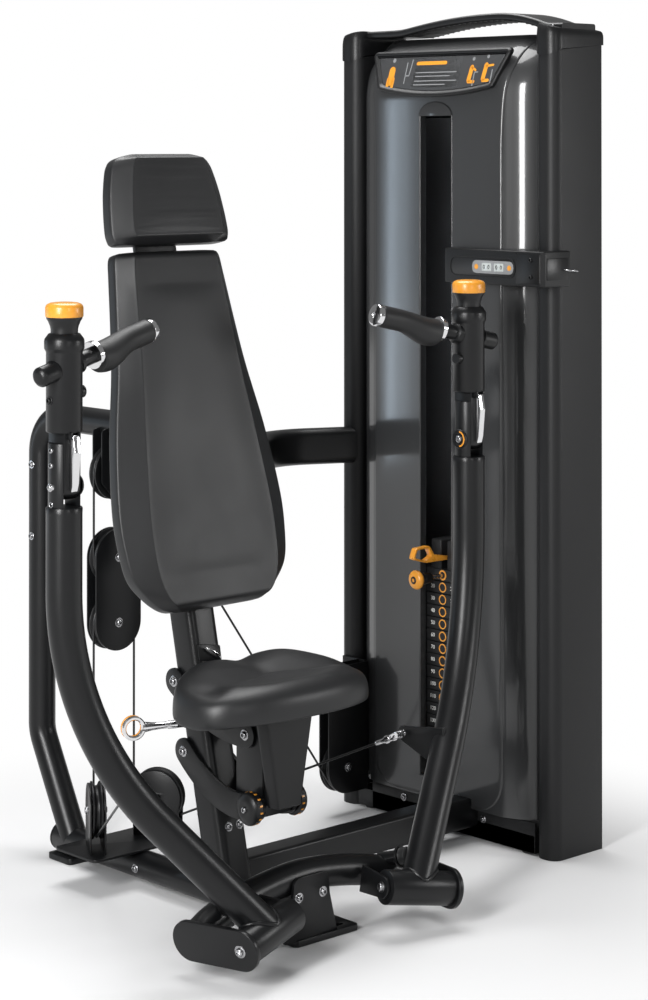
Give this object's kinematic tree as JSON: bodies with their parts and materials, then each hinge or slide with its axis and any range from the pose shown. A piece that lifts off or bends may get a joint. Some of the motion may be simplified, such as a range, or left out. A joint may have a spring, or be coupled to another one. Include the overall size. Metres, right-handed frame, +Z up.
{
  "type": "chest press machine",
  "caption": "Selectorised chest press: seat on a four-bar lift, two cable-driven press arms with tilting handles, and a shrouded weight tower beside the seat.",
  "frame": {"origin": "on the floor under the front foot plate, in the plane of symmetry of the seat and arms", "axes": "+Z up; the user sits on x = 0 and faces -Y; the weight tower stands at +X"},
  "size_m": [1.5305, 1.0792, 1.8764],
  "materials": {
    "powder_coat": "satin powder coat",
    "column_coat": "satin powder coat",
    "shroud_plastic": "satin",
    "black_plastic": "matte",
    "chrome": "polished",
    "bright_steel": "ground",
    "cast_iron": "painted",
    "rubber": "matte",
    "vinyl": "grained vinyl",
    "orange_plastic": "satin",
    "coated_cable": "nylon coated"
  },
  "bodies": {
    "frame": {"base_runner": "powder_coat", "bow_frame": "powder_coat", "left_bumper": "rubber", "right_bumper": "rubber", "cross_beam": "powder_coat", "seat_column": "powder_coat", "rear_upright": "powder_coat", "tie_beam": "powder_coat", "tower_front_column": "column_coat", "tower_rear_column": "column_coat", "tower_crown": "black_plastic", "tower_base": "column_coat", "guide_frame": "bright_steel", "front_shroud": "shroud_plastic", "rear_shroud": "shroud_plastic", "placard": "black_plastic", "weight_stack": "cast_iron", "stack_cushion": "rubber", "rep_counter": "black_plastic", "upper_pulley_bracket": "powder_coat", "base_pulley_bracket": "powder_coat", "tower_pulley_bracket": "powder_coat", "arm_cable": "coated_cable", "stack_cable": "coated_cable", "back_board": "black_plastic", "backrest_pad": "vinyl", "headrest_pad": "vinyl"},
    "right_arm": {"right_arm": "powder_coat"},
    "left_arm": {"left_arm": "powder_coat"},
    "right_handle": {"right_post": "powder_coat", "right_grip": "rubber", "right_grip_cap": "chrome"},
    "left_handle": {"left_post": "powder_coat", "left_grip": "rubber", "left_grip_cap": "chrome"},
    "right_button": {"right_button": "orange_plastic"},
    "left_button": {"left_button": "orange_plastic"},
    "right_latch": {"right_latch": "chrome"},
    "left_latch": {"left_latch": "chrome"},
    "counter_left_button": {"counter_left_button": "orange_plastic"},
    "counter_right_button": {"counter_right_button": "orange_plastic"},
    "lower_links": {"lower_links": "powder_coat"},
    "upper_links": {"upper_links": "powder_coat"},
    "seat": {"seat_carriage": "shroud_plastic", "seat_pad": "vinyl"},
    "seat_release": {"seat_release": "chrome"},
    "weight_carriage": {"head_plate": "cast_iron"},
    "selector_pin": {"selector_pin": "orange_plastic"},
    "addon_lever": {"addon_lever": "orange_plastic"},
    "float_block": {"float_block": "powder_coat"},
    "float_upper_pulley": {"float_upper_pulley": "black_plastic"},
    "float_lower_pulley": {"float_lower_pulley": "black_plastic"},
    "upper_pulley": {"upper_pulley": "black_plastic"},
    "left_base_pulley": {"left_base_pulley": "black_plastic"},
    "right_base_pulley": {"right_base_pulley": "black_plastic"},
    "tower_front_pulley": {"tower_front_pulley": "black_plastic"},
    "tower_rear_pulley": {"tower_rear_pulley": "black_plastic"},
    "top_rear_pulley": {"top_rear_pulley": "black_plastic"},
    "top_front_pulley": {"top_front_pulley": "black_plastic"}
  },
  "joints": [
    {"name": "right_press", "type": "hinge", "parent": "frame", "child": "right_arm", "pos_m": [-0.274, -0.148, 0.076], "axis": [0.9638, 0.207, 0.1682], "range_deg": [0, 26], "deforming": ["arm_cable", "stack_cable"]},
    {"name": "left_press", "type": "hinge", "parent": "frame", "child": "left_arm", "pos_m": [0.274, -0.148, 0.076], "axis": [0.9638, -0.207, -0.1682], "range_deg": [0, 26], "deforming": ["arm_cable", "stack_cable"]},
    {"name": "right_handle_tilt", "type": "hinge", "parent": "right_arm", "child": "right_handle", "pos_m": [-0.54095, 0.05171, 0.945], "axis": [1, 0, 0], "range_deg": [-14, 14]},
    {"name": "right_button_push", "type": "slide", "parent": "right_handle", "child": "right_button", "axis": [0, 0, -1], "range_m": [0, 0.008], "stiffness_N_per_m": 800, "springref_m": -0.004},
    {"name": "right_latch_swing", "type": "hinge", "parent": "right_handle", "child": "right_latch", "pos_m": [-0.54095, 0.02072, 1.039], "axis": [-1, 0, 0], "range_deg": [0, 12.1]},
    {"name": "left_handle_tilt", "type": "hinge", "parent": "left_arm", "child": "left_handle", "pos_m": [0.54095, 0.05171, 0.945], "axis": [1, 0, 0], "range_deg": [-14, 14]},
    {"name": "left_button_push", "type": "slide", "parent": "left_handle", "child": "left_button", "axis": [0, 0, -1], "range_m": [0, 0.008], "stiffness_N_per_m": 800, "springref_m": -0.004},
    {"name": "left_latch_swing", "type": "hinge", "parent": "left_handle", "child": "left_latch", "pos_m": [0.54095, 0.02072, 1.039], "axis": [-1, 0, 0], "range_deg": [0, 12.1]},
    {"name": "counter_left_push", "type": "slide", "parent": "frame", "child": "counter_left_button", "axis": [1, 0, 0], "range_m": [0, 0.0015], "stiffness_N_per_m": 600, "springref_m": -0.0005},
    {"name": "counter_right_push", "type": "slide", "parent": "frame", "child": "counter_right_button", "axis": [1, 0, 0], "range_m": [0, 0.0015], "stiffness_N_per_m": 600, "springref_m": -0.0005},
    {"name": "seat_lift", "type": "hinge", "parent": "frame", "child": "lower_links", "pos_m": [0, 0.30573, 0.32315], "axis": [-1, 0, 0], "range_deg": [0, 38]},
    {"name": "seat_upper", "type": "hinge", "parent": "frame", "child": "upper_links", "pos_m": [0, 0.33704, 0.46268], "axis": [-1, 0, 0], "range_deg": [0, 38.1]},
    {"name": "seat_level", "type": "hinge", "parent": "lower_links", "child": "seat", "pos_m": [0, 0.08073, 0.25215], "axis": [-1, 0, 0], "range_deg": [-38.1, 0]},
    {"name": "release_pull", "type": "hinge", "parent": "seat", "child": "seat_release", "pos_m": [-0.085, 0.15005, 0.42068], "axis": [0, 1, 0], "range_deg": [0, 8], "stiffness_Nm_per_rad": 4, "springref_deg": -2.86},
    {"name": "weight_lift", "type": "slide", "parent": "frame", "child": "weight_carriage", "axis": [0, 0, 1], "range_m": [0, 0.27716], "deforming": ["arm_cable", "stack_cable"]},
    {"name": "selector_pull", "type": "slide", "parent": "weight_carriage", "child": "selector_pin", "axis": [-1, 0, 0], "range_m": [0, 0.13]},
    {"name": "addon_flip", "type": "hinge", "parent": "weight_carriage", "child": "addon_lever", "pos_m": [0.777, 0.341, 0.6292], "axis": [0, 1, 0], "range_deg": [0, 25]},
    {"name": "float_travel", "type": "slide", "parent": "frame", "child": "float_block", "axis": [0, 0, -1], "range_m": [0, 0.13858], "deforming": ["arm_cable", "stack_cable"]},
    {"name": "float_upper_spin", "type": "hinge", "parent": "float_block", "child": "float_upper_pulley", "pos_m": [0, 0.598, 0.68499], "axis": [0, 1, 0], "range_deg": [-144.37, 0]},
    {"name": "float_lower_spin", "type": "hinge", "parent": "float_block", "child": "float_lower_pulley", "pos_m": [0, 0.598, 0.54349], "axis": [0, 1, 0], "continuous": true},
    {"name": "upper_spin", "type": "hinge", "parent": "frame", "child": "upper_pulley", "pos_m": [0, 0.598, 0.86799], "axis": [0, 1, 0], "range_deg": [-288.73, 0]},
    {"name": "left_base_spin", "type": "hinge", "parent": "frame", "child": "left_base_pulley", "pos_m": [0.08419, 0.55138, 0.16], "axis": [-0.8476, -0.5307, 0], "range_deg": [0, 144.37]},
    {"name": "right_base_spin", "type": "hinge", "parent": "frame", "child": "right_base_pulley", "pos_m": [-0.08419, 0.55138, 0.16], "axis": [-0.8476, 0.5307, 0], "range_deg": [0, 144.37]},
    {"name": "tower_front_spin", "type": "hinge", "parent": "frame", "child": "tower_front_pulley", "pos_m": [0.682, 0.598, 0.112], "axis": [0, 1, 0], "range_deg": [0, 288.73]},
    {"name": "tower_rear_spin", "type": "hinge", "parent": "frame", "child": "tower_rear_pulley", "pos_m": [0.842, 0.598, 0.112], "axis": [0, 1, 0], "range_deg": [0, 288.73]},
    {"name": "top_rear_spin", "type": "hinge", "parent": "frame", "child": "top_rear_pulley", "pos_m": [0.88028, 0.5456, 1.752], "axis": [-0.9527, 0.304, 0], "range_deg": [0, 288.73]},
    {"name": "top_front_spin", "type": "hinge", "parent": "frame", "child": "top_front_pulley", "pos_m": [0.83172, 0.3934, 1.752], "axis": [-0.9527, 0.304, 0], "range_deg": [0, 288.73]}
  ],
  "couplings": [
    {"joint": "left_press", "follows": "right_press", "ratio": 1},
    {"joint": "right_latch_swing", "follows": "right_button_push", "rad_per_m": 26.18},
    {"joint": "left_latch_swing", "follows": "left_button_push", "rad_per_m": 26.18},
    {"joint": "seat_upper", "follows": "seat_lift", "ratio": 1},
    {"joint": "seat_level", "follows": "seat_lift", "ratio": -1},
    {"joint": "weight_lift", "follows": "right_press", "m_per_rad": 0.60956},
    {"joint": "float_travel", "follows": "right_press", "m_per_rad": 0.30478},
    {"joint": "float_upper_spin", "follows": "right_press", "ratio": -5.5415},
    {"joint": "upper_spin", "follows": "right_press", "ratio": -11.083},
    {"joint": "left_base_spin", "follows": "right_press", "ratio": 5.5415},
    {"joint": "right_base_spin", "follows": "right_press", "ratio": 5.5415},
    {"joint": "tower_front_spin", "follows": "right_press", "ratio": 11.083},
    {"joint": "tower_rear_spin", "follows": "right_press", "ratio": 11.083},
    {"joint": "top_rear_spin", "follows": "right_press", "ratio": 11.083},
    {"joint": "top_front_spin", "follows": "right_press", "ratio": 11.083}
  ]
}
